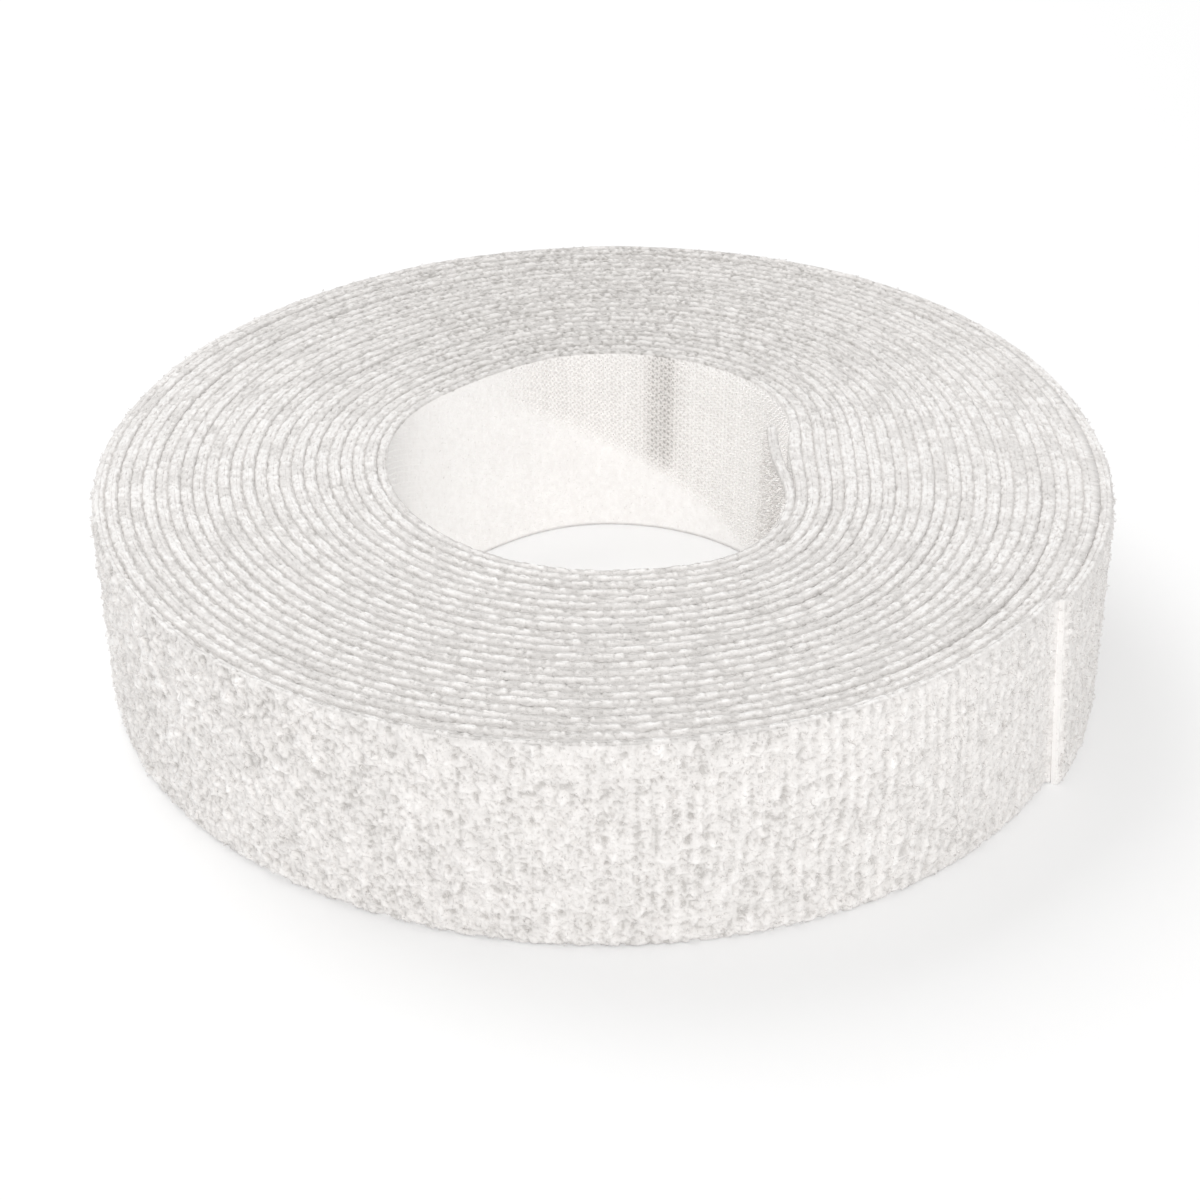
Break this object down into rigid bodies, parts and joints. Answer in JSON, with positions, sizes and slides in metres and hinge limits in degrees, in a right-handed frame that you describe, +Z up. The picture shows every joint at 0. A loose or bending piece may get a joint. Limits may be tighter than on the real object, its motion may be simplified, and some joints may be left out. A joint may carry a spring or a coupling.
{
  "type": "hook and loop tape roll",
  "caption": "Coreless roll of white back-to-back hook and loop tape, hook side in and loop side out, with free ends that peel away from the winding.",
  "frame": {"origin": "on the surface the roll lies on, under the middle of its outline", "axes": "+Z up along the axis of the roll, -Y towards the viewer of the picture, +X to the viewer's right"},
  "size_m": [0.0912, 0.0886, 0.02],
  "materials": {
    "hook_tape": "white woven nylon backing with fine rows of translucent hooks",
    "loop_tape": "warm white woven nylon backing with a brushed pile of small loops"
  },
  "bodies": {
    "roll": {"wound_hook_tape": "hook_tape", "wound_loop_tape": "loop_tape"},
    "inner_end": {"inner_end_hook_tape": "hook_tape", "inner_end_loop_tape": "loop_tape"},
    "outer_end_1": {"outer_end_1_hook_tape": "hook_tape", "outer_end_1_loop_tape": "loop_tape"},
    "outer_end_2": {"outer_end_2_hook_tape": "hook_tape", "outer_end_2_loop_tape": "loop_tape"},
    "outer_end_3": {"outer_end_3_hook_tape": "hook_tape", "outer_end_3_loop_tape": "loop_tape"},
    "outer_end_4": {"outer_end_4_hook_tape": "hook_tape", "outer_end_4_loop_tape": "loop_tape"}
  },
  "joints": [
    {"name": "inner_end_peel", "type": "hinge", "parent": "roll", "child": "inner_end", "pos_m": [0.01583, -0.00902, 0], "axis": [0, 0, 1], "range_deg": [0, 40]},
    {"name": "outer_end_peel", "type": "hinge", "parent": "roll", "child": "outer_end_1", "pos_m": [0.03783, 0.02536, 0], "axis": [0, 0, 1], "range_deg": [0, 30]},
    {"name": "outer_end_flex_2", "type": "hinge", "parent": "outer_end_1", "child": "outer_end_2", "pos_m": [0.04331, 0.01412, 0], "axis": [0, 0, 1], "range_deg": [0, 30]},
    {"name": "outer_end_flex_3", "type": "hinge", "parent": "outer_end_2", "child": "outer_end_3", "pos_m": [0.04537, 0.00181, 0], "axis": [0, 0, 1], "range_deg": [0, 30]},
    {"name": "outer_end_flex_4", "type": "hinge", "parent": "outer_end_3", "child": "outer_end_4", "pos_m": [0.04394, -0.01054, 0], "axis": [0, 0, 1], "range_deg": [0, 30]}
  ],
  "couplings": [
    {"joint": "outer_end_flex_2", "follows": "outer_end_peel", "ratio": 1},
    {"joint": "outer_end_flex_3", "follows": "outer_end_peel", "ratio": 1},
    {"joint": "outer_end_flex_4", "follows": "outer_end_peel", "ratio": 1}
  ]
}
